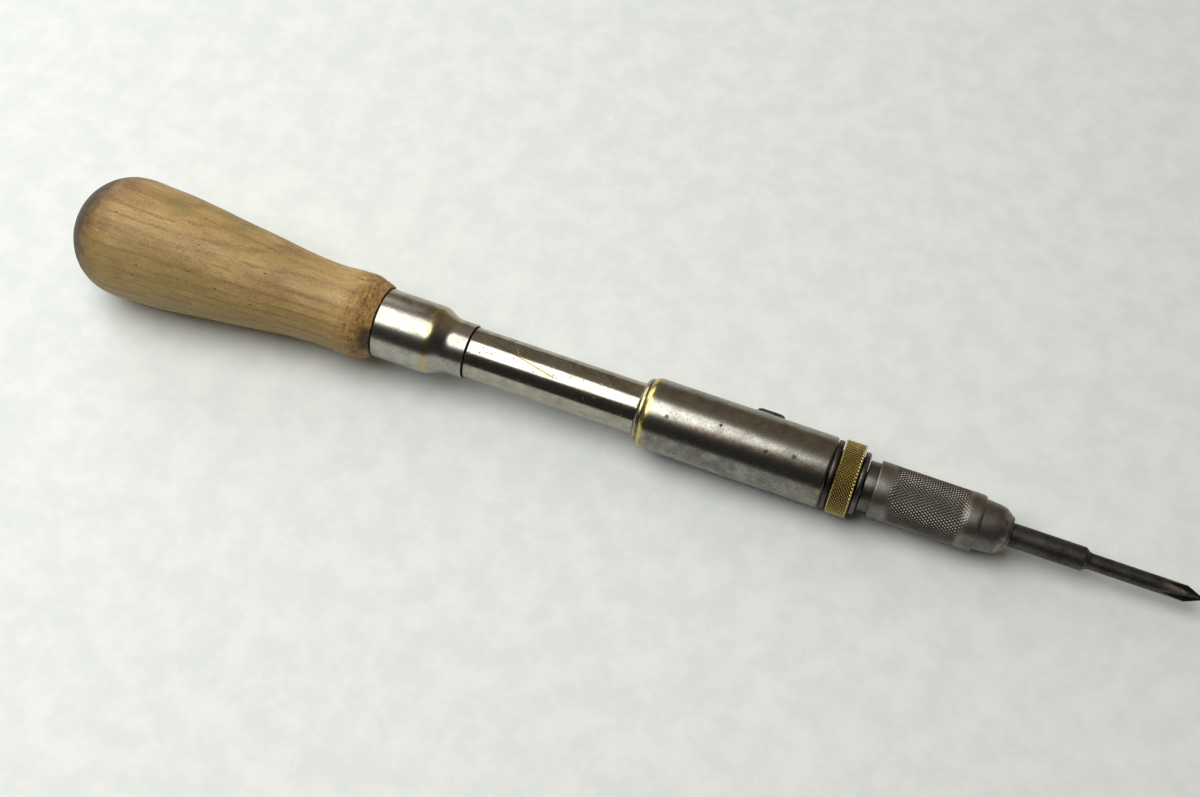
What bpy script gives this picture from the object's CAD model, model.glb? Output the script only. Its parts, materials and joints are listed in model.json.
"""The looks of a spiral-ratchet push screwdriver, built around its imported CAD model.

Every new piece is made along the tool's own axis, in millimetres from just behind the butt of
the handle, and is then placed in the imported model's frame by TOOL, which comes from its joints.
"""

import json
import math

import bmesh
import bpy
import numpy as np
from mathutils import Matrix, Quaternion, Vector, noise


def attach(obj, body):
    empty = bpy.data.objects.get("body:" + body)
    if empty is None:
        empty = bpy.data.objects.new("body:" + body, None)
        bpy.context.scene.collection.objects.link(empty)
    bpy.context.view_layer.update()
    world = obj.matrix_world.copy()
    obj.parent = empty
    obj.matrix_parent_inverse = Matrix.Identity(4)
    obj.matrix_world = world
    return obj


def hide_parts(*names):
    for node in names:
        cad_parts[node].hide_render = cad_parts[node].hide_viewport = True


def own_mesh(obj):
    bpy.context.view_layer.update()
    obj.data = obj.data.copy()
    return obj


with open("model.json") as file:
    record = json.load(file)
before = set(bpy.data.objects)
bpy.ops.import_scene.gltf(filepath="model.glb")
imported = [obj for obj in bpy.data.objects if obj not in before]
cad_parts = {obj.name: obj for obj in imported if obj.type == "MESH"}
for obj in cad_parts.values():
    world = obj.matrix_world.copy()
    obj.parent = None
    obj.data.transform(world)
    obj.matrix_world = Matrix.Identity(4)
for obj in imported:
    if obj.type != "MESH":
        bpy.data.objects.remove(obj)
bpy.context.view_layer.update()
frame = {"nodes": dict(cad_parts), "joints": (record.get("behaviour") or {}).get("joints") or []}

MM = 0.001
TAU = 2 * math.pi
joints = {joint["name"]: joint for joint in frame["joints"]}


# ---------------------------------------------------------------- the tool's own frame


# Where the lock ring's middle lies along the tool, in millimetres.
LOCK_RING_MIDDLE = 254.4
# Sides of the CAD model's large round pieces.
FACETS = 28


def tool_matrix():
    """Places the tool's frame: +X along its axis from just behind the butt, +Y to the selector's side."""
    along = Vector(joints["spindle_slide"]["axis"]).normalized()
    across = Vector((0, 1, 0))
    above = along.cross(across)
    on_axis = Vector(joints["lock_ring_turn"]["pos_m"])
    matrix = Matrix((along, across, above)).transposed().to_4x4()
    matrix.translation = on_axis - along * LOCK_RING_MIDDLE * MM
    return matrix


TOOL = tool_matrix()
TO_TOOL = TOOL.inverted()


def in_tool(node):
    """A CAD node's vertices in the tool's frame, in millimetres."""
    return np.array([TO_TOOL @ vertex.co for vertex in frame["nodes"][node].data.vertices]) / MM


def span(node):
    """Where a CAD node starts and ends along the tool."""
    stations = in_tool(node)[:, 0]
    return float(stations.min()), float(stations.max())


def stations_of(node):
    """A turned CAD node's (x, radius) corners, in order along the tool."""
    points = in_tool(node)
    radii = np.hypot(points[:, 1], points[:, 2]) * math.cos(math.pi / FACETS)
    return sorted({(round(float(x), 2), round(float(r), 2)) for x, r in zip(points[:, 0], radii)})


def radius_of(node):
    """A turned CAD node's largest radius, to its flats."""
    return float(np.hypot(*in_tool(node)[:, 1:].T).max()) * math.cos(math.pi / FACETS)


# Radii and stations that several pieces or finishes share, in millimetres.
TENON = 9.8
HANDLE_BORE, HANDLE_BORE_FROM = 8.2, 12
BUTTON_FROM, BUTTON_TO = 223.2, 231.8
GROOVES_FROM, GROOVES_TO = 121.0, 247.0
BALL_AT, BALL_HOLE = 287.5, 1.45
BLADE, FLUTES_FROM, CONE_FROM = 2.44, 347.8, 355.3
WOOD_FRONT = max(x for x, radius in stations_of("handle") if radius > TENON + 1)
SLEEVE_KNURL = (span("chuck_sleeve")[0] + 3.4, span("chuck_sleeve")[0] + 28.2)
KNURL_FADE = 3.2


# ---------------------------------------------------------------- mesh helpers


def tool_solid(name, vertices, faces):
    """An object from vertices in millimetres in the tool's frame, with its faces pointing out."""
    mesh = bpy.data.meshes.new(name)
    mesh.from_pydata([tuple(v) for v in np.asarray(vertices) * MM], [], faces)
    clean = bmesh.new()
    clean.from_mesh(mesh)
    bmesh.ops.recalc_face_normals(clean, faces=clean.faces)
    clean.to_mesh(mesh)
    clean.free()
    solid = bpy.data.objects.new(name, mesh)
    bpy.context.scene.collection.objects.link(solid)
    solid.matrix_world = TOOL
    return solid


def smooth_shading(piece, sharp=35):
    """Shades a piece smooth, except at edges sharper than an angle in degrees."""
    piece.data.shade_smooth()
    piece.data.set_sharp_from_angle(angle=math.radians(sharp))


def place(name, vertices, faces, body, *replaced, slot, sharp=35):
    """A piece from vertices in millimetres in the tool's frame, riding on a CAD body."""
    piece = tool_solid(name, vertices, faces)
    smooth_shading(piece, sharp)
    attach(piece, body)
    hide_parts(*replaced)
    return piece


def rounded(corners, steps=5):
    """An outline from (x, radius) corners; a third number rounds that corner off."""
    points = []
    for i, corner in enumerate(corners):
        here = Vector(corner[:2])
        if len(corner) < 3:
            points.append(here)
            continue
        sides = [Vector(corners[i - 1][:2]) - here, Vector(corners[(i + 1) % len(corners)][:2]) - here]
        start, end = (here + side.normalized() * min(corner[2], side.length * 0.49) for side in sides)
        for step in range(steps + 1):
            t = step / steps
            points.append(start * (1 - t) ** 2 + here * 2 * t * (1 - t) + end * t * t)
    return [(point.x, point.y) for point in points]


def lathe(outline, segments, shape=None):
    """Vertices and faces of an outline turned about the tool's axis.

    The outline either closes on itself or starts and ends on the axis. shape(x, radius,
    angle) may move the points; angles run from +Y towards +Z.
    """
    on_axis = outline[0][1] == 0 and outline[-1][1] == 0
    x, radius = (np.array(column, float)[:, None] for column in zip(*outline))
    angle = np.arange(segments)[None, :] * TAU / segments
    x, radius = x + 0 * angle, radius + 0 * angle
    if shape:
        x, radius = shape(x, radius, angle + 0 * x)
    points = np.stack([x, radius * np.cos(angle), radius * np.sin(angle)], axis=2)
    faces = []
    rings = len(outline)
    if on_axis:
        vertices = [points[0, 0], *points[1:-1].reshape(-1, 3), points[-1, 0]]
        index = lambda ring, segment: 1 + (ring - 1) * segments + segment % segments
        last = len(vertices) - 1
        for segment in range(segments):
            faces.append((0, index(1, segment), index(1, segment + 1)))
            faces.append((last, index(rings - 2, segment + 1), index(rings - 2, segment)))
        pairs = range(1, rings - 2)
    else:
        vertices = points.reshape(-1, 3)
        index = lambda ring, segment: (ring % rings) * segments + segment % segments
        pairs = range(rings)
    for ring in pairs:
        for segment in range(segments):
            corners = ((ring, segment), (ring, segment + 1), (ring + 1, segment + 1), (ring + 1, segment))
            faces.append(tuple(index(*corner) for corner in corners))
    return vertices, faces


def turned(name, corners, body, slot, segments=160, steps=5):
    """A turned piece that replaces the CAD node of the same name without its "fine_"."""
    vertices, faces = lathe(rounded(corners, steps), segments)
    return place(name, vertices, faces, body, name.removeprefix("fine_"), slot=slot)


def smooth(low, high, value):
    """0 below low, 1 above high and smooth between."""
    t = np.clip((value - low) / (high - low), 0, 1)
    return t * t * (3 - 2 * t)


def triangle(phase):
    """0 at whole numbers and 1 half-way between them."""
    return 1 - np.abs(2 * (phase % 1) - 1)


def knurl(start, end, around, pitch, depth, fade):
    """A diamond knurl between two stations: raised points, cut in by two crossing spirals."""

    def shape(x, radius, angle):
        turn = around * angle / TAU
        step = (x - start) / pitch
        diamond = np.minimum(triangle(turn + step), triangle(turn - step))
        inside = smooth(start, start + fade, x) * smooth(-end, fade - end, -x)
        outer = radius > radius.max() - 0.05
        return x, radius + outer * inside * depth * (np.minimum(diamond, 0.9) / 0.9 - 1)

    return shape


def apply_modifiers(piece):
    graph = bpy.context.evaluated_depsgraph_get()
    result = bpy.data.meshes.new_from_object(piece.evaluated_get(graph))
    piece.modifiers.clear()
    piece.data = result


def cut(piece, name, vertices, faces):
    """Cuts a solid, given in the tool's frame in millimetres, out of the piece."""
    cutter = tool_solid(name, vertices, faces)
    modifier = piece.modifiers.new("cut", "BOOLEAN")
    modifier.operation = "DIFFERENCE"
    modifier.solver = "EXACT"
    modifier.object = cutter
    apply_modifiers(piece)
    bpy.data.objects.remove(cutter)


def prism(outline, direction):
    """Vertices and faces of a flat outline carried along a direction."""
    count = len(outline)
    points = [Vector(p) for p in outline]
    vertices = points + [p + Vector(direction) for p in points]
    faces = [tuple(range(count)), tuple(range(2 * count - 1, count - 1, -1))]
    faces += [(i, (i + 1) % count, count + (i + 1) % count, count + i) for i in range(count)]
    return vertices, faces


# ---------------------------------------------------------------- node helpers


class Paint:
    """A material's node tree, with short names for the nodes that the finishes use."""

    def __init__(self, name):
        self.material = bpy.data.materials.new(name)
        self.material.use_nodes = True
        self.tree = self.material.node_tree
        self.shader = self.tree.nodes["Principled BSDF"]
        coordinates = self.tree.nodes.new("ShaderNodeTexCoord").outputs["Object"]
        self.mm = self.vector("SCALE", coordinates, scale=1 / MM)
        split = self.node("ShaderNodeSeparateXYZ", {0: self.mm})
        self.x, self.y, self.z = split.outputs

    def feed(self, socket, value):
        """Links another node's output to a socket, or sets the socket to a plain value."""
        if isinstance(value, bpy.types.NodeSocket):
            self.tree.links.new(value, socket)
        else:
            socket.default_value = value

    def node(self, kind, inputs=None, **settings):
        made = self.tree.nodes.new(kind)
        for key, value in settings.items():
            setattr(made, key, value)
        for key, value in (inputs or {}).items():
            self.feed(made.inputs[key], value)
        return made

    def math(self, operation, *values):
        """A math node's value; a ! after the operation clamps it to 0 to 1."""
        clamp = operation.endswith("!")
        return self.node(
            "ShaderNodeMath", dict(enumerate(values)), operation=operation.rstrip("!"), use_clamp=clamp
        ).outputs[0]

    def plus(self, first, second):
        return self.math("ADD", first, second)

    def minus(self, first, second):
        return self.math("SUBTRACT", first, second)

    def times(self, first, second):
        return self.math("MULTIPLY", first, second)

    def scaled(self, value, factor, offset):
        return self.math("MULTIPLY_ADD", value, factor, offset)

    def larger(self, first, second):
        return self.math("MAXIMUM", first, second)

    def vector(self, operation, *values, scale=None):
        inputs = dict(enumerate(values))
        if scale is not None:
            inputs["Scale"] = scale
        return self.node("ShaderNodeVectorMath", inputs, operation=operation).outputs[0]

    def stretched(self, x, y, z):
        return self.vector("MULTIPLY", self.mm, (x, y, z))

    def shifted(self, x, y, z):
        return self.vector("ADD", self.mm, (x, y, z))

    def noise(self, scale, detail, roughness=0.55, at=None, distortion=0.0):
        inputs = {"Scale": scale, "Detail": detail, "Roughness": roughness, "Distortion": distortion}
        inputs["Vector"] = at if at is not None else self.mm
        return self.node("ShaderNodeTexNoise", inputs).outputs[0]

    def cells(self, scale, at=None):
        """Distance to the nearest of a scatter of points, in cells."""
        inputs = {"Scale": scale, "Vector": at if at is not None else self.mm}
        return self.node("ShaderNodeTexVoronoi", inputs).outputs[0]

    def step(self, value, low, high):
        """0 below low, 1 above high and smooth between; low above high turns it round."""
        inputs = {"Value": value, "From Min": low, "From Max": high}
        return self.node("ShaderNodeMapRange", inputs, interpolation_type="SMOOTHSTEP").outputs[0]

    def remap(self, value, low, high, to_low, to_high):
        inputs = {0: value, 1: low, 2: high, 3: to_low, 4: to_high}
        return self.node("ShaderNodeMapRange", inputs).outputs[0]

    def band(self, value, middle, half, soft):
        """1 within half of the middle, falling to 0 over soft."""
        away = self.math("ABSOLUTE", self.minus(value, middle))
        return self.step(away, half + soft, half)

    def both(self, *masks):
        result = masks[0]
        for mask in masks[1:]:
            result = self.times(result, mask)
        return result

    def mix(self, share, first, second):
        made = self.node("ShaderNodeMix", data_type="RGBA")
        for key, value in ((0, share), (6, first), (7, second)):
            self.feed(made.inputs[key], (*value, 1) if isinstance(value, tuple) else value)
        return made.outputs[2]

    def tint(self, colour, other, mask, strength):
        """The colour, turned towards another one by up to the strength where the mask is 1."""
        return self.mix(self.times(mask, strength), colour, other)

    def ramp(self, value, *stops):
        made = self.node("ShaderNodeValToRGB", {0: value})
        elements = made.color_ramp.elements
        while len(elements) < len(stops):
            elements.new(0.5)
        for element, (position, colour) in zip(elements, stops):
            element.position = position
            element.color = (*colour, 1)
        return made.outputs[0]

    def turn(self):
        """Angle about the tool in radians: 0 on top, positive towards the near side (-Y)."""
        return self.math("ARCTAN2", self.times(self.y, -1.0), self.z)

    def from_axis(self):
        """Distance from the tool's axis in millimetres."""
        squares = self.scaled(self.y, self.y, self.times(self.z, self.z))
        return self.math("SQRT", squares)

    def bump(self, height, strength, distance, under=None):
        inputs = {"Strength": strength, "Distance": distance * MM, "Height": height}
        if under is not None:
            inputs["Normal"] = under
        return self.node("ShaderNodeBump", inputs).outputs[0]

    def hollow(self, mask, strength, distance, under):
        """The normal, bumped inwards where the mask is 1."""
        return self.bump(self.minus(1.0, mask), strength, distance, under)

    def finish(self, colour, roughness, normal, metallic=1.0, **constants):
        inputs = {"Base Color": colour, "Roughness": roughness, "Normal": normal, "Metallic": metallic}
        for key, value in (inputs | constants).items():
            self.feed(self.shader.inputs[key], value)
        return self.material


BRASS_WEAR = (0.66, 0.51, 0.13)
COPPER_WEAR = (0.42, 0.27, 0.17)
GRIME = (0.030, 0.024, 0.019)
STAIN = (0.24, 0.18, 0.11)


def worn_metal(paint, bright, dull, gloss, haze, scratch=0.25, pitting=0.5):
    """Shared ground of the old metal: patchy colour, patchy gloss, fine scratches and pits.

    Returns the colour, the roughness and the normal, for a finish to add its own marks to.
    """
    patches = paint.noise(0.22, 4, 0.6)
    fine = paint.noise(1.6, 5, 0.65)
    share = paint.scaled(fine, 0.45, paint.times(patches, 0.6))
    colour = paint.mix(paint.step(share, 0.40, 0.68), bright, dull)
    drawn = paint.noise(1.0, 4, 0.7, at=paint.stretched(0.12, 5.0, 5.0))
    turned_marks = paint.noise(1.0, 3, 0.7, at=paint.stretched(7.0, 0.25, 0.25))
    lines = paint.plus(drawn, paint.times(turned_marks, 0.5))
    pits = paint.step(paint.cells(1.1, paint.shifted(3.1, 7.7, 1.3)), 0.10, 0.05)
    kept = paint.step(paint.noise(0.5, 2), 0.56, 0.66)
    pits = paint.times(pits, paint.times(kept, pitting))
    colour = paint.mix(pits, colour, GRIME)
    wide = paint.plus(share, paint.times(lines, 0.25))
    roughness = paint.remap(wide, 0.45, 1.05, gloss, haze)
    normal = paint.bump(lines, scratch, 0.02)
    normal = paint.hollow(pits, 0.8, 0.15, normal)
    return colour, roughness, normal


# ---------------------------------------------------------------- finishes


def blotches(paint, scale, low, high, seed):
    """Ragged patches, for stains and for places that are rubbed through."""
    at = paint.shifted(seed * 13.7, seed * 5.3, seed * 9.1)
    return paint.step(paint.noise(scale, 6, 0.68, at=at), low, high)


def tube_scratch(paint):
    """A long, bent scratch on the near side of the tube: its whole width, and its core."""
    start = span("barrel_tube")[0] + 124.3
    near = paint.times(paint.turn(), radius_of("barrel_tube"))
    run = paint.minus(paint.x, start)
    bend = paint.times(paint.times(run, run), -0.0014)
    course = paint.plus(paint.scaled(run, 0.27, -2.5), bend)
    away = paint.math("ABSOLUTE", paint.minus(near, course))
    within = paint.both(paint.step(run, -0.2, 2.5), paint.step(run, 25.6, 25.2))
    width = paint.remap(run, 0, 25, 0.07, 0.17)
    edge = paint.both(within, paint.math("LESS_THAN", away, paint.times(width, 2.0)))
    core = paint.both(within, paint.math("LESS_THAN", away, width))
    return edge, core


def nickel_tube():
    paint = Paint("nickel_tube")
    bright, dull = (0.42, 0.405, 0.35), (0.29, 0.275, 0.23)
    colour, roughness, normal = worn_metal(paint, bright, dull, gloss=0.10, haze=0.24, scratch=0.15)
    far_side = paint.step(paint.turn(), 0.1, -0.5)
    stain = paint.both(blotches(paint, 0.25, 0.46, 0.62, 1), paint.scaled(far_side, 0.6, 0.25))
    colour = paint.mix(stain, colour, STAIN)
    freckles = paint.step(paint.cells(0.62, paint.shifted(1.9, 0.4, 5.2)), 0.20, 0.08)
    freckles = paint.both(freckles, blotches(paint, 0.20, 0.44, 0.56, 2))
    colour = paint.tint(colour, (0.055, 0.042, 0.030), freckles, 0.7)
    edge, core = tube_scratch(paint)
    colour = paint.tint(colour, (0.42, 0.33, 0.11), edge, 0.85)
    colour = paint.tint(colour, (0.10, 0.08, 0.035), core, 0.85)
    normal = paint.hollow(core, 0.7, 0.1, normal)
    normal = paint.hollow(freckles, 0.6, 0.1, normal)
    seam = paint.step(paint.x, span("ferrule")[1] + 0.75, span("ferrule")[1] + 0.45)
    colour = paint.mix(seam, colour, (0.012, 0.010, 0.008))
    roughness = paint.math("MULTIPLY_ADD!", seam, 0.5, roughness)
    return paint.finish(colour, roughness, normal)


def nickel_ferrule():
    paint = Paint("nickel_ferrule")
    bright, dull = (0.42, 0.41, 0.365), (0.255, 0.24, 0.20)
    colour, roughness, normal = worn_metal(paint, bright, dull, gloss=0.17, haze=0.34)
    start = span("ferrule")[0]
    stain = paint.both(blotches(paint, 0.20, 0.47, 0.62, 3), paint.step(paint.turn(), 0.5, -0.3))
    colour = paint.tint(colour, STAIN, stain, 0.75)
    wobble = paint.scaled(paint.noise(0.30, 3), 1.6, -0.8)
    station = paint.plus(paint.x, wobble)
    ridge = paint.band(station, start + 17.2, 0.35, 1.3)
    broken = paint.remap(paint.noise(0.5, 4), 0.38, 0.58, 0.45, 1.0)
    brassy = paint.times(paint.both(ridge, broken), 0.85)
    blush = paint.both(paint.band(station, start + 22.0, 1.2, 2.4), paint.step(paint.turn(), 0.3, -0.3))
    brassy = paint.larger(brassy, paint.times(blush, 0.4))
    colour = paint.mix(brassy, colour, (0.46, 0.36, 0.13))
    near_wood = paint.both(paint.step(paint.x, start + 0.5, start), paint.noise(0.6, 3))
    colour = paint.mix(near_wood, colour, GRIME)
    return paint.finish(colour, roughness, normal)


# From the housing's rear end, angle about the tool in radians, and radius.
HOUSING_DENTS = ((9.6, 0.47, 0.55), (25.4, 0.22, 0.42), (40.2, 0.52, 0.62), (48.4, 0.41, 0.6))


def housing_dents(paint):
    """1 in the few dark dents with ragged edges on the housing's near side."""
    start = span("ratchet_housing")[0]
    turn = paint.turn()
    dents = None
    for from_start, angle, size in HOUSING_DENTS:
        away_x = paint.minus(paint.x, start + from_start)
        away_turn = paint.times(paint.minus(turn, angle), radius_of("ratchet_housing"))
        squares = paint.scaled(away_x, away_x, paint.times(away_turn, away_turn))
        rough_edge = paint.scaled(paint.noise(2.5, 2), 0.8, squares)
        dent = paint.step(rough_edge, size * size + 0.5, size * size + 0.2)
        dents = dent if dents is None else paint.larger(dents, dent)
    return dents


def nickel_housing():
    paint = Paint("nickel_housing")
    bright, dull = (0.31, 0.30, 0.265), (0.175, 0.168, 0.148)
    colour, roughness, normal = worn_metal(
        paint, bright, dull, gloss=0.16, haze=0.36, scratch=0.35, pitting=0.9
    )
    start, end = span("ratchet_housing")
    turn = paint.turn()
    wear = paint.scaled(paint.noise(0.4, 3), 0.5, -0.25)
    station = paint.plus(paint.x, wear)
    edge = paint.times(paint.band(station, start + 1.0, 0.20, 0.40), 0.45)
    shoulder = paint.band(station, start + 2.9, 0.35, 0.45)
    fading = paint.times(paint.band(station, start + 3.4, 0.3, 2.0), 0.30)
    brassy = paint.larger(paint.larger(edge, shoulder), fading)
    colour = paint.tint(colour, BRASS_WEAR, brassy, 0.92)
    groove = paint.band(paint.x, start + 1.8, 0.06, 0.12)
    colour = paint.tint(colour, GRIME, groove, 0.50)
    rubbed = paint.both(
        paint.band(turn, 0.57, 0.03, 0.09),
        paint.step(paint.x, start + 8, start + 22),
        paint.step(paint.noise(0.9, 5, 0.75, at=paint.stretched(0.8, 1.4, 1.4)), 0.42, 0.56),
    )
    colour = paint.tint(colour, COPPER_WEAR, rubbed, 0.80)
    far_side = paint.times(paint.step(turn, 0.3, -0.5), 0.8)
    stain = paint.both(blotches(paint, 0.28, 0.46, 0.62, 4), far_side)
    colour = paint.mix(stain, colour, (0.21, 0.165, 0.11))
    below = paint.both(paint.step(turn, 0.8, 1.15), blotches(paint, 0.35, 0.40, 0.62, 5))
    colour = paint.tint(colour, (0.105, 0.095, 0.078), below, 0.55)
    freckles = paint.step(paint.cells(0.55, paint.shifted(8.9, 2.4, 3.2)), 0.16, 0.07)
    freckles = paint.both(freckles, blotches(paint, 0.20, 0.46, 0.58, 6))
    colour = paint.tint(colour, (0.050, 0.036, 0.026), freckles, 0.75)
    dents = housing_dents(paint)
    colour = paint.tint(colour, (0.07, 0.05, 0.035), dents, 0.85)
    normal = paint.hollow(dents, 0.9, 0.3, normal)
    front = paint.step(paint.x, end - 1.0, end - 0.1)
    colour = paint.tint(colour, GRIME, front, 0.6)
    return paint.finish(colour, roughness, normal)


def old_brass():
    paint = Paint("old_brass")
    bright, dull = (0.62, 0.47, 0.16), (0.40, 0.29, 0.10)
    colour, roughness, normal = worn_metal(paint, bright, dull, gloss=0.20, haze=0.36, scratch=0.3)
    distance = paint.from_axis()
    hollow = paint.step(distance, radius_of("lock_ring") - 0.08, radius_of("lock_ring") - 0.30)
    colour = paint.tint(colour, (0.050, 0.036, 0.012), hollow, 0.90)
    crests = paint.step(distance, radius_of("lock_ring") - 0.16, radius_of("lock_ring") - 0.04)
    colour = paint.tint(colour, (0.80, 0.63, 0.25), crests, 0.7)
    roughness = paint.math("MULTIPLY_ADD!", hollow, 0.35, roughness)
    return paint.finish(colour, roughness, normal)


def gunmetal_sleeve():
    paint = Paint("gunmetal_sleeve")
    bright, dull = (0.215, 0.199, 0.176), (0.140, 0.127, 0.110)
    colour, roughness, normal = worn_metal(paint, bright, dull, gloss=0.34, haze=0.52, scratch=0.5)
    distance = paint.from_axis()
    radius = radius_of("chuck_sleeve")
    fading_in = paint.step(paint.x, SLEEVE_KNURL[0] - 0.2, SLEEVE_KNURL[0] + KNURL_FADE)
    fading_out = paint.step(paint.x, SLEEVE_KNURL[1] + 0.2, SLEEVE_KNURL[1] - KNURL_FADE)
    knurled = paint.both(fading_in, fading_out)
    hollow = paint.both(paint.step(distance, radius - 0.08, radius - 0.30), knurled)
    colour = paint.tint(colour, GRIME, hollow, 0.55)
    crests = paint.both(paint.step(distance, radius - 0.12, radius - 0.03), knurled)
    colour = paint.tint(colour, (0.52, 0.50, 0.46), crests, 0.65)
    return paint.finish(colour, roughness, normal)


def steel(name, bright, dull, gloss, haze):
    paint = Paint(name)
    return paint.finish(*worn_metal(paint, bright, dull, gloss, haze, scratch=0.4, pitting=0.6))


def worn_nose():
    """The nose cap's dull steel, with a dirty seam behind it."""
    paint = Paint("worn_nose_steel")
    bright, dull = (0.215, 0.202, 0.182), (0.130, 0.121, 0.107)
    colour, roughness, normal = worn_metal(paint, bright, dull, gloss=0.34, haze=0.52, scratch=0.5)
    start, end = span("nose_cap")
    seam = paint.step(paint.x, start + 0.55, start + 0.25)
    rubbed = paint.both(paint.band(paint.x, end - 2.4, 0.4, 1.0), paint.step(paint.noise(0.5, 3), 0.42, 0.6))
    colour = paint.tint(colour, (0.42, 0.40, 0.36), rubbed, 0.5)
    colour = paint.tint(colour, GRIME, seam, 0.9)
    return paint.finish(colour, roughness, normal)


def worn_bit():
    """Blackened steel, rubbed bare on the wings of the tip and dirty in its flutes."""
    paint = Paint("black_bit_steel")
    bright, dull = (0.100, 0.092, 0.084), (0.042, 0.038, 0.035)
    colour, roughness, normal = worn_metal(
        paint, bright, dull, gloss=0.38, haze=0.58, scratch=0.6, pitting=0.8
    )
    tip = span("phillips_bit")[1]
    skin = paint.math("MINIMUM", paint.remap(paint.x, CONE_FROM, tip, BLADE, 0.5), BLADE)
    under_skin = paint.minus(skin, paint.from_axis())
    near_tip = paint.step(paint.x, FLUTES_FROM - 0.3, FLUTES_FROM + 3.2)
    flute = paint.both(paint.step(under_skin, 0.12, 0.35), near_tip)
    wing = paint.both(paint.step(under_skin, 0.16, 0.03), near_tip)
    bare = paint.times(wing, paint.remap(paint.noise(1.2, 4), 0.35, 0.65, 0.35, 1.0))
    colour = paint.tint(colour, (0.26, 0.235, 0.20), bare, 0.75)
    colour = paint.tint(colour, (0.020, 0.017, 0.014), flute, 0.60)
    return paint.finish(colour, roughness, normal)


def wood_grain(paint):
    """Straight-grained hardwood, darkened by hands: its colour, its figure and its height."""
    drift = paint.noise(1.0, 3, 0.5, at=paint.stretched(0.010, 0.05, 0.05))
    across = paint.scaled(paint.y, 0.55, paint.times(paint.z, 0.84))
    layers = paint.scaled(drift, 10.0, across)
    wave = paint.math("SINE", paint.times(layers, TAU / 2.9))
    broken = paint.noise(1.0, 3, 0.6, at=paint.stretched(0.045, 0.9, 0.9))
    late = paint.both(paint.step(wave, 0.35, 0.98), paint.step(broken, 0.36, 0.60))
    broad = paint.noise(1.0, 4, 0.6, at=paint.stretched(0.035, 0.30, 0.30))
    fibre = paint.noise(1.0, 6, 0.75, at=paint.stretched(0.20, 3.0, 3.0))
    hair = paint.noise(1.0, 3, 0.7, at=paint.stretched(0.35, 9.0, 9.0))
    colour = paint.ramp(
        broad, (0.30, (0.255, 0.160, 0.054)), (0.50, (0.385, 0.250, 0.092)), (0.70, (0.500, 0.330, 0.130))
    )
    colour = paint.tint(colour, (0.130, 0.074, 0.026), late, 0.55)
    colour = paint.mix(paint.remap(fibre, 0.46, 0.66, 0.0, 0.60), colour, (0.150, 0.090, 0.032))
    colour = paint.mix(paint.remap(hair, 0.50, 0.72, 0.0, 0.40), colour, (0.560, 0.380, 0.165))
    pores = paint.step(paint.cells(1.0, paint.stretched(0.50, 2.8, 2.8)), 0.20, 0.08)
    pores = paint.both(pores, paint.step(paint.noise(0.35, 3), 0.42, 0.58))
    colour = paint.tint(colour, (0.075, 0.044, 0.018), pores, 0.55)
    figure = paint.noise(1.0, 5, 0.7, at=paint.stretched(2.6, 1.3, 1.3))
    colour = paint.mix(paint.remap(figure, 0.50, 0.70, 0.0, 0.45), colour, (0.600, 0.400, 0.165))
    colour = paint.mix(paint.remap(figure, 0.48, 0.32, 0.0, 0.42), colour, (0.150, 0.092, 0.034))
    olive = paint.step(paint.turn(), 0.55, 1.15)
    olive = paint.math("MULTIPLY_ADD!", olive, 0.6, paint.step(paint.noise(0.06, 3), 0.50, 0.64))
    colour = paint.tint(colour, (0.225, 0.180, 0.062), olive, 0.42)
    red = paint.step(paint.noise(0.075, 4, 0.6, at=paint.shifted(37.0, 5.0, 11.0)), 0.55, 0.68)
    colour = paint.tint(colour, (0.240, 0.110, 0.055), red, 0.32)
    height = paint.scaled(fibre, 0.5, paint.times(late, -0.3))
    height = paint.minus(height, paint.times(pores, 0.6))
    return colour, figure, height


def scorched_butt(paint, colour, height):
    start = span("handle")[0]
    ragged = paint.scaled(paint.noise(0.22, 5, 0.68), 12.0, -6.0)
    tilted = paint.scaled(paint.y, -0.16, paint.plus(paint.x, ragged))
    from_butt = paint.minus(tilted, start)
    halo = paint.step(from_butt, 22.0, 9.0)
    colour = paint.tint(colour, (0.130, 0.062, 0.026), halo, 0.75)
    scorch = paint.step(from_butt, 13.5, 8.0)
    end_grain = paint.noise(1.0, 5, 0.7, at=paint.stretched(0.4, 1.6, 0.5))
    char = paint.ramp(
        end_grain, (0.36, (0.022, 0.015, 0.011)), (0.52, (0.048, 0.032, 0.023)), (0.68, (0.105, 0.066, 0.042))
    )
    colour = paint.tint(colour, char, scorch, 0.90)
    height = paint.scaled(paint.times(scorch, end_grain), 2.0, height)
    return colour, height


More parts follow.
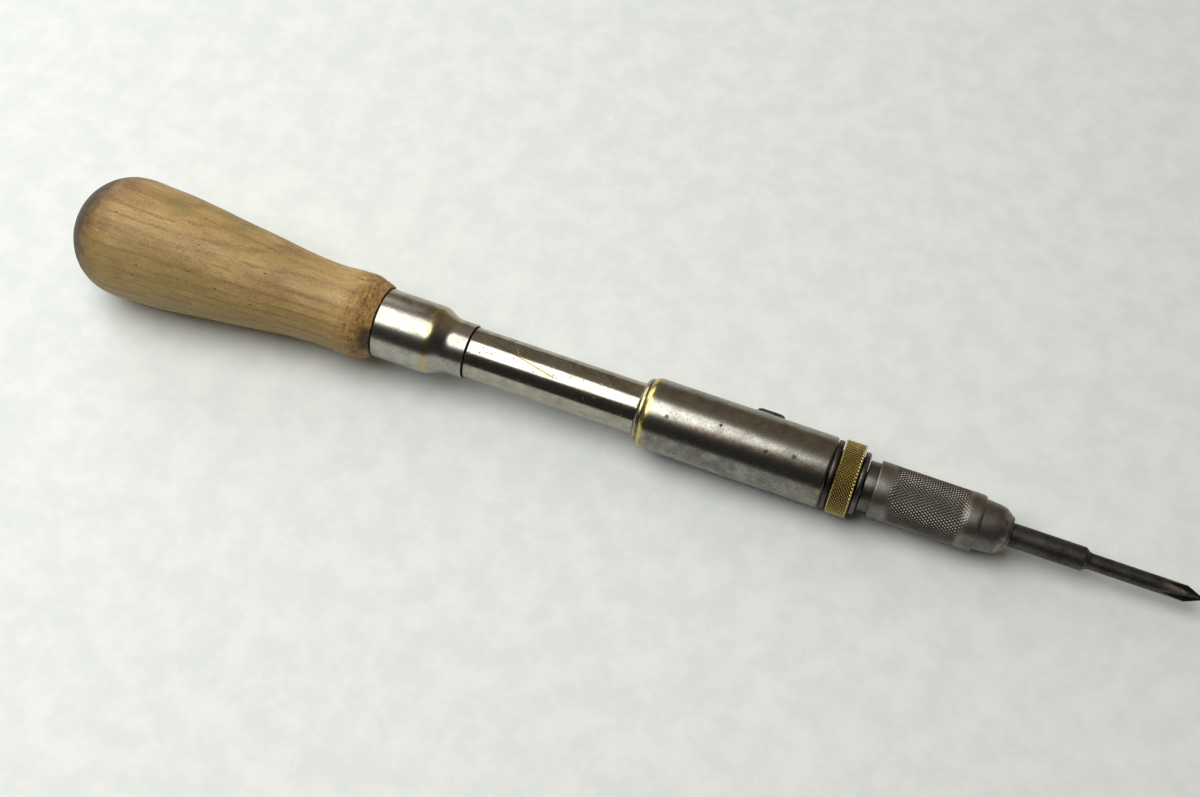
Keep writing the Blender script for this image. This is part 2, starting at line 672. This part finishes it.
def whittled_front(paint, colour, height):
    """Raw wood where the front was cut with a knife, dirty at its edge and in one hollow."""
    worked = paint.noise(0.30, 5, 0.65, at=paint.stretched(0.8, 1.2, 1.2))
    front = paint.step(paint.scaled(worked, 18.0, paint.x), WOOD_FRONT - 1.5, WOOD_FRONT + 3.5)
    swirl = paint.vector("SCALE", (3.0, 9.0, 5.0), scale=paint.noise(0.16, 3, 0.5, distortion=1.5))
    fibres_cut = paint.vector("ADD", paint.stretched(0.9, 0.5, 0.5), swirl)
    scraped = paint.noise(1.0, 5, 0.7, at=fibres_cut)
    raw = paint.ramp(
        scraped, (0.38, (0.060, 0.028, 0.010)), (0.47, (0.260, 0.130, 0.036)), (0.62, (0.460, 0.255, 0.080))
    )
    colour = paint.tint(colour, raw, front, 0.75)
    last_part = paint.step(paint.x, WOOD_FRONT - 5.0, WOOD_FRONT - 1.5)
    cavity = paint.both(paint.band(paint.turn(), 1.15, 0.22, 0.30), last_part)
    ragged = paint.scaled(worked, 2.0, paint.x)
    edge_dirt = paint.step(ragged, WOOD_FRONT + 0.8, WOOD_FRONT + 1.3)
    colour = paint.tint(colour, GRIME, paint.larger(cavity, edge_dirt), 0.80)
    height = paint.scaled(paint.times(front, scraped), 2.5, height)
    return colour, height


def nicked(paint, colour, height):
    """Dark specks all over, and short cracks near the front."""
    cracks = paint.step(paint.cells(0.55, paint.stretched(1.0, 0.45, 1.6)), 0.13, 0.06)
    cracks = paint.both(cracks, paint.step(paint.x, WOOD_FRONT - 13.0, WOOD_FRONT - 8.0))
    specks = paint.step(paint.cells(0.14, paint.stretched(1.0, 2.0, 2.0)), 0.085, 0.045)
    nicks = paint.larger(specks, cracks)
    colour = paint.tint(colour, (0.028, 0.016, 0.009), nicks, 0.80)
    return colour, paint.minus(height, nicks)


def handle_wood():
    paint = Paint("handle_wood")
    colour, figure, height = wood_grain(paint)
    for mark in (scorched_butt, whittled_front, nicked):
        colour, height = mark(paint, colour, height)
    normal = paint.bump(height, 0.45, 0.14)
    normal = paint.bump(figure, 0.35, 0.16, normal)
    roughness = paint.remap(figure, 0.3, 0.75, 0.62, 0.42)
    return paint.finish(colour, roughness, normal, metallic=0.0, **{"Specular IOR Level": 0.28})


def bench_paper():
    paint = Paint("bench_paper")
    mottle = paint.noise(0.09, 6, 0.66)
    colour = paint.mix(paint.step(mottle, 0.34, 0.68), (0.695, 0.728, 0.718), (0.765, 0.785, 0.772))
    fibres = paint.noise(0.55, 6, 0.7)
    roughness = paint.remap(fibres, 0.3, 0.7, 0.82, 0.66)
    return paint.finish(colour, roughness, paint.bump(fibres, 0.22, 0.30), metallic=0.0)


FINISH = {
    "wood": handle_wood(),
    "tube": nickel_tube(),
    "ferrule": nickel_ferrule(),
    "housing": nickel_housing(),
    "brass": old_brass(),
    "sleeve": gunmetal_sleeve(),
    "nose": worn_nose(),
    "dark": steel("oiled_dark_steel", (0.085, 0.080, 0.074), (0.040, 0.036, 0.032), 0.24, 0.46),
    "neck": steel("worn_neck_steel", (0.15, 0.142, 0.130), (0.072, 0.066, 0.058), 0.26, 0.48),
    "bit": worn_bit(),
    "ground": steel("ground_steel", (0.52, 0.51, 0.49), (0.38, 0.37, 0.35), 0.16, 0.34),
    "spring": steel("spring_wire", (0.40, 0.39, 0.37), (0.24, 0.22, 0.20), 0.24, 0.40),
    "button": steel("blackened_button", (0.13, 0.125, 0.12), (0.055, 0.05, 0.046), 0.25, 0.45),
}


def dress(piece, finish):
    """Gives a piece one of the finishes."""
    piece.data.materials.clear()
    piece.data.materials.append(FINISH[finish])


# ---------------------------------------------------------------- handle and barrel


def handle_outline():
    """The CAD handle's outer stations, smoothed into one fine curve."""
    butt = span("handle")[0]
    solid = [
        (x, r)
        for x, r in stations_of("handle")
        if r > TENON + 0.1 or (butt < x < HANDLE_BORE_FROM and r != HANDLE_BORE)
    ]
    xs, rs = (np.array(column) for column in zip((butt, 0.0), *solid))
    # The curve is followed by its length, so that its points are spread evenly round the butt too.
    length = np.concatenate([[0], np.cumsum(np.hypot(np.diff(xs), np.diff(rs)))])
    fine = np.linspace(0, length[-1], 230)
    tangent = np.stack([np.gradient(xs, length), np.gradient(rs, length)], axis=1)
    tangent[0] = (0.0, 1.0)
    curve = []
    for s in fine:
        i = min(int(np.searchsorted(length, s, side="right")) - 1, len(xs) - 2)
        h = length[i + 1] - length[i]
        t = (s - length[i]) / h
        basis = (2 * t**3 - 3 * t**2 + 1, t**3 - 2 * t**2 + t, -2 * t**3 + 3 * t**2, t**3 - t**2)
        here, there = (np.array([xs[k], rs[k]]) for k in (i, i + 1))
        ends = (here, tangent[i] * h, there, tangent[i + 1] * h)
        curve.append(tuple(sum(b * e for b, e in zip(basis, ends))))
    curve[0] = (butt, 0.0)
    return curve


def worn_wood(x, radius, angle):
    """Small dents all over, and a chipped, ragged front edge."""
    end, bores_below = WOOD_FRONT, 10.5
    moved_x, moved_r = x.copy(), radius.copy()
    for i in range(x.shape[0]):
        for j in range(x.shape[1]):
            px, pr, pa = x[i, j], radius[i, j], angle[i, j]
            if pr < bores_below:
                continue
            around = Vector((px * 0.10, math.cos(pa) * 1.4, math.sin(pa) * 1.4))
            moved_r[i, j] += 0.10 * noise.noise(around) + 0.035 * noise.noise(around * 5)
            front = smooth(end - 7.0, end - 1.0, px)
            if front > 0:
                across = Vector((math.cos(pa), math.sin(pa), 0))
                cutting = noise.fractal(Vector((px * 0.22, across.x * 2.2, across.y * 2.2)), 1.0, 2.1, 3)
                fine = Vector((px * 0.35, across.x * 5, across.y * 5))
                nick = noise.ridged_multi_fractal(fine, 1.0, 2.0, 4, 1.0, 2.0)
                moved_r[i, j] -= front * (0.80 + 0.8 * max(0.0, cutting) + 0.20 * nick)
                missing = abs(noise.noise(Vector((4.2, across.x * 1.9, across.y * 1.9))))
                moved_x[i, j] -= front * missing * 0.3
    return moved_x, moved_r


def make_handle():
    outer = handle_outline()
    end = span("handle")[1]
    bore = [(end, HANDLE_BORE), (HANDLE_BORE_FROM, HANDLE_BORE), (HANDLE_BORE_FROM, 0.0)]
    inside = [(WOOD_FRONT, TENON), (end, TENON), *bore]
    vertices, faces = lathe(outer + inside, 224, worn_wood)
    piece = place("turned_handle", vertices, faces, "tool_body", "handle", slot="handle_wood", sharp=50)
    dress(piece, "wood")


def make_ferrule():
    start, end = span("ferrule")
    radius, neck, tenon_bore, tube_bore = radius_of("ferrule"), 8.55, 9.95, 8.15
    shoulder, neck_from = 124.4, 129.0
    corners = [
        (start, tenon_bore),
        (start, radius, 0.25),
        (shoulder, radius, 1.5),
        (shoulder + 2.5, radius - 1.25, 1.2),
        (neck_from, neck, 1.6),
        (end, neck, 0.15),
        (end, tube_bore),
        (shoulder + 0.5, tube_bore),
        (shoulder - 2.8, tenon_bore),
    ]
    piece = turned("fine_ferrule", corners, "tool_body", slot="nickel_plate", segments=192, steps=8)
    dress(piece, "ferrule")


def make_tube():
    start, end = span("barrel_tube")
    radius, bore = radius_of("barrel_tube"), 7.1
    rings = [(start + (end - start) * i / 60, radius) for i in range(1, 60)]
    corners = [(start, bore), (start, radius, 0.2), *rings, (end, radius, 0.2), (end, bore)]
    dress(turned("fine_barrel_tube", corners, "tool_body", slot="nickel_plate", segments=192), "tube")


# ---------------------------------------------------------------- housing, selector, lock ring


def make_housing():
    start, end = span("ratchet_housing")
    radius, bore, rear_bore, rear_wall = 10.94, 9.9, 8.25, 3.9
    corners = [
        (start, rear_bore),
        (start, 8.75, 0.2),
        (start + 0.65, 9.75, 0.4),
        (start + 1.6, 10.05, 0.3),
        (start + 1.8, 9.88, 0.1),
        (start + 2.0, 10.2, 0.2),
        (start + 3.3, radius, 0.9),
        (end - 0.5, radius, 0.35),
        (end, radius - 0.45, 0.25),
        (end, bore),
        (start + rear_wall, bore),
        (start + rear_wall, rear_bore),
    ]
    piece = turned("fine_ratchet_housing", corners, "tool_body", slot="nickel_plate", segments=224, steps=6)
    slot_middle, half_straight, half_width, inside = 225.0, 3.2, 1.6, 7
    outline = [
        (slot_middle + half_straight * side + half_width * math.cos(a), inside, half_width * math.sin(a))
        for side, angles in ((1, range(-90, 91, 15)), (-1, range(90, 271, 15)))
        for a in map(math.radians, angles)
    ]
    cut(piece, "slot_cutter", *prism(outline, (0, 6, 0)))
    dress(piece, "housing")


def make_button():
    """A low thumb button with grip ridges across it, on the far side of the housing."""
    start, end = BUTTON_FROM, BUTTON_TO
    low, high, half_width = 11.1, 12.35, 2.7
    ridge = 0.16
    top = [(start, low + 0.25), (start + 0.25, low + 0.75), (start + 1.1, high - ridge)]
    count = 7
    pitch = (end - start - 2.6) / count
    for i in range(count):
        x = start + 1.3 + i * pitch
        top += [(x + 0.10 * pitch, high - ridge), (x + 0.32 * pitch, high), (x + 0.68 * pitch, high)]
        top += [(x + 0.90 * pitch, high - ridge)]
    top += [(end - 1.1, high - ridge), (end - 0.25, low + 0.75), (end, low + 0.25)]
    top += [(end - 0.2, low), (start + 0.2, low)]
    outline = [(x, y, -half_width) for x, y in top]
    solid = prism(outline, (0, 0, 2 * half_width))
    body, node = "selector", "selector_button"
    piece = place("fine_selector_button", *solid, body, node, slot="nickel_plate", sharp=30)
    bevel = piece.modifiers.new("soft_edges", "BEVEL")
    bevel.width = 0.18 * MM
    bevel.segments = 3
    bevel.limit_method = "ANGLE"
    bevel.angle_limit = math.radians(70)
    apply_modifiers(piece)
    dress(piece, "button")


def make_stem():
    """The short foot between the button and its plate, through the housing's slot."""
    middle, half_x, half_z, bottom, height = (BUTTON_FROM + BUTTON_TO) / 2, 2.0, 1.3, 9.75, 1.4
    outline = [(middle + sx * half_x, bottom, sz * half_z) for sx, sz in ((-1, -1), (1, -1), (1, 1), (-1, 1))]
    piece = place("selector_stem", *prism(outline, (0, height, 0)), "selector", slot="nickel_plate")
    dress(piece, "button")


def make_bushing():
    start, end = span("front_bushing")
    bore, in_housing, flange, neck = 4.45, 9.6, 10.47, 7.9
    flange_from, flange_to = 249.35, 250.95
    corners = [
        (start, bore),
        (start, in_housing, 0.3),
        (flange_from, in_housing),
        (flange_from, flange, 0.55),
        (flange_to, flange, 0.55),
        (flange_to, neck),
        (end, neck, 0.2),
        (end, bore),
    ]
    dress(turned("fine_front_bushing", corners, "tool_body", slot="dark_steel"), "dark")


def make_lock_ring():
    start, end = span("lock_ring")
    radius, bore, clip_groove = radius_of("lock_ring"), 8.2, 9.5
    clip_from, clip_to = 252.9, 255.9
    around, pitch, depth, rim = 62, 0.90, 0.40, 0.28
    rings = np.arange(start + rim, end - rim + 1e-6, pitch / 8)
    edge = [(start, radius - 0.38), (start + 0.1, radius - 0.14), *((float(x), radius) for x in rings)]
    corners = [(start, bore), *edge, (end - 0.1, radius - 0.14), (end, radius - 0.38), (end, bore)]
    corners += [(clip_to, bore), (clip_to, clip_groove), (clip_from, clip_groove), (clip_from, bore)]
    shape = knurl(start + rim, end - rim, around, pitch, depth, fade=0.2)
    vertices, faces = lathe(corners, around * 8, shape)
    piece = place("knurled_lock_ring", vertices, faces, "lock_ring", "lock_ring", slot="brass", sharp=60)
    dress(piece, "brass")


def make_collar():
    start, end = span("retaining_collar")
    bore, radius = 8.1, 9.56
    corners = [(start, bore), (start, radius, 0.5), (end, radius, 1.3), (end, bore)]
    dress(turned("fine_retaining_collar", corners, "tool_body", slot="dark_steel", steps=8), "neck")


# ---------------------------------------------------------------- spindle, chuck and bit


def spiral_grooves(x, radius, angle):
    """Two-start grooves of each hand, in step with the CAD spindle's."""
    first, last = GROOVES_FROM, GROOVES_TO
    lead, depth, half_width = 36.0, 1.0, 0.95
    nearest = np.full_like(x, 9.0)
    for hand in (1, -1):
        behind = (angle - hand * TAU * (x - first) / lead) % math.pi
        nearest = np.minimum(nearest, np.minimum(behind, math.pi - behind) * radius)
    groove = np.clip(1.35 * (1 - nearest / half_width), 0, 1)
    groove = groove * smooth(first - 0.6, first + 0.4, x) * smooth(-last - 0.4, 0.6 - last, -x)
    return x, radius - depth * groove * (radius > 3.7)


def make_spindle():
    start, end = span("spindle")
    radius, tail = 4.0, 3.6
    rings = [(float(x), radius) for x in np.arange(GROOVES_FROM - 0.4, GROOVES_TO + 0.9, 0.45)]
    tail_end = (GROOVES_FROM - 0.8, tail)
    corners = [(start, 0.0), (start, tail), tail_end, *rings, (end, radius), (end, 0.0)]
    vertices, faces = lathe(corners, 132, spiral_grooves)
    piece = place("grooved_spindle", vertices, faces, "spindle", "spindle", slot="gunmetal_steel", sharp=40)
    dress(piece, "neck")


def make_chuck_body():
    """The chuck's body, with a socket for the spindle, a socket for the bit and the ball's hole."""
    start, end = span("chuck_body")
    flange, body, front = 7.6, 6.2, 5.0
    flange_to, shoulder = 266, 289.5
    spindle_socket, spindle_socket_to = 4.2, 271.7
    bit_socket, bit_socket_from = 3.75, 273.7
    outline = [
        (spindle_socket_to, 0.0),
        (spindle_socket_to, spindle_socket),
        (start, spindle_socket),
        (start, flange, 0.25),
        (flange_to, flange, 0.2),
        (flange_to, body),
        (shoulder, body),
        (shoulder, front),
        (end, front),
        (end, bit_socket),
        (bit_socket_from, bit_socket),
        (bit_socket_from, 0.0),
    ]
    piece = turned("fine_chuck_body", outline, "spindle", slot="dark_steel")
    angles = np.arange(24) * TAU / 24
    circle = [(BALL_AT + BALL_HOLE * math.cos(a), BALL_HOLE * math.sin(a), 2.0) for a in angles]
    cut(piece, "ball_hole_cutter", *prism(circle, (0, 0, 6)))
    piece.data.set_sharp_from_angle(angle=math.radians(35))
    dress(piece, "neck")


def make_chuck_spring():
    """The spring behind the sleeve, which the sleeve squashes against the chuck's flange."""
    start, end, radius, wire, turns = 266.2, 276.8, 7.1, 0.4, 4
    rings, sides, travel = 48 * turns, 12, 3.0
    vertices = []
    for ring in range(rings + 1):
        angle = TAU * turns * ring / rings
        x = start + wire + (end - start - 2 * wire) * ring / rings
        for side in range(sides):
            out, along = wire * math.cos(TAU * side / sides), wire * math.sin(TAU * side / sides)
            vertices.append((x + along, (radius + out) * math.cos(angle), (radius + out) * math.sin(angle)))
    faces = [
        tuple(ring * sides + side % sides for ring, side in ((r, k), (r, k + 1), (r + 1, k + 1), (r + 1, k)))
        for r in range(rings)
        for k in range(sides)
    ]
    faces += [tuple(range(sides)), tuple(rings * sides + side for side in range(sides))]
    piece = place("fine_chuck_spring", vertices, faces, "spindle", "chuck_spring", slot="spring_steel")
    dress(piece, "spring")
    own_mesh(piece)


def make_sleeve():
    start, end = span("chuck_sleeve")
    radius, skirt, land = radius_of("chuck_sleeve"), 7.8, 6.5
    land_from, land_to = 277, 288.9
    around, pitch, depth = 54, 1.47, 0.36
    rings = [(float(x), radius) for x in np.arange(SLEEVE_KNURL[0], SLEEVE_KNURL[1] + 1e-6, pitch / 6)]
    outline = rounded(
        [
            (start, skirt),
            (start, radius, 0.55),
            *rings,
            (end - 0.1, radius - 0.02, 1.5),
            (end, skirt + 0.15),
            (end, skirt),
            (land_to, skirt),
            (land_to, land + 1),
            (land_to - 1, land),
            (land_from, land),
            (land_from, skirt),
        ]
    )
    shape = knurl(*SLEEVE_KNURL, around, pitch, depth, KNURL_FADE)
    vertices, faces = lathe(outline, around * 6, shape)
    body = node = "chuck_sleeve"
    piece = place("knurled_chuck_sleeve", vertices, faces, body, node, slot="gunmetal_steel", sharp=60)
    dress(piece, "sleeve")


def make_nose():
    start, end = span("nose_cap")
    skirt, bore, mouth, wall_from = 7.65, 5.1, 3.85, 302.8
    corners = [
        (start, bore),
        (start, skirt),
        (295, skirt, 0.8),
        (299, 7.32, 1.6),
        (300.7, 7.0, 0.9),
        (301.7, 6.5, 0.6),
        (302.6, 5.8, 0.5),
        (303.0, 5.35, 0.15),
        (303.15, 5.32, 0.1),
        (end, bore, 0.2),
        (end, mouth, 0.1),
        (wall_from, mouth),
        (wall_from, bore),
    ]
    dress(turned("fine_nose_cap", corners, "spindle", slot="nickel_plate", segments=192), "nose")


def cut_flutes(bit, end):
    """Four flutes with rounded floors, which run down to a thin web at the bit's tip."""
    floor_radius, wall, height, web, length = 0.28, math.radians(46), 4, 0.20, 14
    turn_of_first = math.radians(-16)
    slope = math.atan((BLADE - web) / (end - FLUTES_FROM))
    arc = map(math.radians, range(-44, 45, 11))
    floor = [(0, floor_radius * math.sin(a), floor_radius * (1 - math.cos(a))) for a in arc]
    side, top = floor[-1][1] + math.tan(wall) * height, floor[-1][2] + height
    vertices, faces = prism([(0, -side, top), *floor, (0, side, top)], (length, 0, 0))
    move, lean = Matrix.Translation((FLUTES_FROM, 0, BLADE)), Matrix.Rotation(slope, 4, "Y")
    for quarter in range(4):
        aim = Matrix.Rotation(quarter * math.pi / 2 + turn_of_first, 4, "X")
        cut(bit, "flute_cutter", [aim @ move @ lean @ Vector(v) for v in vertices], faces)


def cut_tail_flat(bit, start):
    """The flat at the bit's tail, by which the chuck turns it."""
    flat, side, ahead, length = 2.1, 6, 1, 8
    behind = start - ahead
    section = [(behind, -side, -flat), (behind, side, -flat), (behind, side, -side), (behind, -side, -side)]
    cut(bit, "tail_cutter", *prism(section, (length, 0, 0)))


def make_bit():
    start, end = span("phillips_bit")
    shank, notch, tip = 3.57, 2.9, 0.5
    shoulder, blade_from = 325.6, 327.0
    corners = [
        (start, 0.0),
        (start, shank, 0.5),
        (BALL_AT - 1.5, shank, 0.15),
        (BALL_AT - 0.8, notch, 0.3),
        (BALL_AT + 0.8, notch, 0.3),
        (BALL_AT + 1.5, shank, 0.15),
        (shoulder, shank, 0.3),
        (blade_from, BLADE, 0.9),
        *((blade_from + i * 3.0, BLADE) for i in range(1, 10)),
        (CONE_FROM, BLADE, 0.35),
        (end, tip, 0.2),
        (end, 0.0),
    ]
    piece = turned("fine_phillips_bit", corners, "bit", slot="bit_steel", segments=144)
    cut_flutes(piece, end)
    cut_tail_flat(piece, start)
    smooth_shading(piece)
    dress(piece, "bit")


for make in (
    make_handle,
    make_ferrule,
    make_tube,
    make_housing,
    make_button,
    make_stem,
    make_bushing,
    make_lock_ring,
    make_collar,
    make_spindle,
    make_chuck_body,
    make_chuck_spring,
    make_sleeve,
    make_nose,
    make_bit,
):
    make()

# The pieces sealed inside keep their CAD shapes.
INSIDE = {
    "dark": ("tube_plug", "ratchet_frame", "selector_plate"),
    "spring": ("return_spring", "drive_pawl_spring", "idle_pawl_spring", "lock_clip"),
    "brass": ("spring_plunger",),
    "ground": (
        "rear_thrust_washer",
        "middle_thrust_washer",
        "drive_nut",
        "idle_nut",
        "drive_pawl",
        "idle_pawl",
        "drive_pawl_pin",
        "idle_pawl_pin",
        "chuck_pin",
        "chuck_ball",
    ),
}
for finish_name, node_names in INSIDE.items():
    for node_name in node_names:
        dress(frame["nodes"][node_name], finish_name)


# ---------------------------------------------------------------- stage, light and camera


def make_stage():
    size = 3.0
    bench = bpy.data.meshes.new("bench")
    corners = [(-size, -size, 0), (size, -size, 0), (size, size, 0), (-size, size, 0)]
    bench.from_pydata(corners, [], [(0, 1, 2, 3)])
    floor = bpy.data.objects.new("bench", bench)
    bpy.context.scene.collection.objects.link(floor)
    floor.data.materials.append(bench_paper())


def soft_box(name, centre, size_x, size_y, watts, colour, aim=(0, 0, 0)):
    light = bpy.data.lights.new(name, "AREA")
    light.shape = "ELLIPSE"
    light.size = size_x
    light.size_y = size_y
    light.energy = watts
    light.color = colour
    lamp = bpy.data.objects.new(name, light)
    bpy.context.scene.collection.objects.link(lamp)
    lamp.location = centre
    lamp.rotation_euler = (Vector(aim) - Vector(centre)).to_track_quat("-Z", "Y").to_euler()


def make_light():
    soft_box("overhead_softbox", (-0.57, -0.14, 1.0), 1.30, 1.10, 15, (1.0, 1.0, 0.97), (-0.57, -0.14, 0))
    soft_box("side_window", (-1.15, 1.0, 0.85), 1.3, 1.1, 8.5, (0.93, 1.0, 0.99))
    world = bpy.data.worlds.new("dim_room")
    world.use_nodes = True
    tree = world.node_tree
    coordinates = tree.nodes.new("ShaderNodeTexCoord")
    split = tree.nodes.new("ShaderNodeSeparateXYZ")
    ramp = tree.nodes.new("ShaderNodeMapRange")
    mix = tree.nodes.new("ShaderNodeMix")
    mix.data_type = "RGBA"
    near, far = (0.040, 0.038, 0.036, 1), (0.255, 0.210, 0.155, 1)
    mix.inputs[6].default_value = near
    mix.inputs[7].default_value = far
    tree.links.new(coordinates.outputs["Generated"], split.inputs[0])
    tree.links.new(split.outputs[1], ramp.inputs["Value"])
    ramp.inputs["From Min"].default_value = -0.25
    ramp.inputs["From Max"].default_value = 0.45
    tree.links.new(ramp.outputs[0], mix.inputs[0])
    tree.links.new(mix.outputs[2], tree.nodes["Background"].inputs["Color"])
    bpy.context.scene.world = world


def make_camera():
    """The viewing angle, distance and lens of the reference view, from its perspective."""
    azimuth, elevation, distance = math.radians(20.6), math.radians(59.3), 0.508
    station_at_centre, below_axis, roll = 177.3, 0.90, math.radians(-0.14)
    level = math.cos(elevation)
    back = Vector((math.sin(azimuth) * level, -math.cos(azimuth) * level, math.sin(elevation)))
    camera = bpy.data.objects.new("camera", bpy.data.cameras.new("camera"))
    bpy.context.scene.collection.objects.link(camera)
    turn = back.to_track_quat("Z", "Y") @ Quaternion((0, 0, 1), roll)
    up = turn @ Vector((0, 1, 0))
    centre = TOOL @ Vector((station_at_centre * MM, 0, 0)) - up * below_axis * MM
    camera.location = centre + back * distance
    camera.rotation_euler = turn.to_euler()
    camera.data.lens = 50.7
    camera.data.sensor_width = 36
    camera.data.clip_start = 0.01
    bpy.context.scene.camera = camera


make_stage()
make_light()
make_camera()
bpy.context.scene.view_settings.view_transform = "Standard"
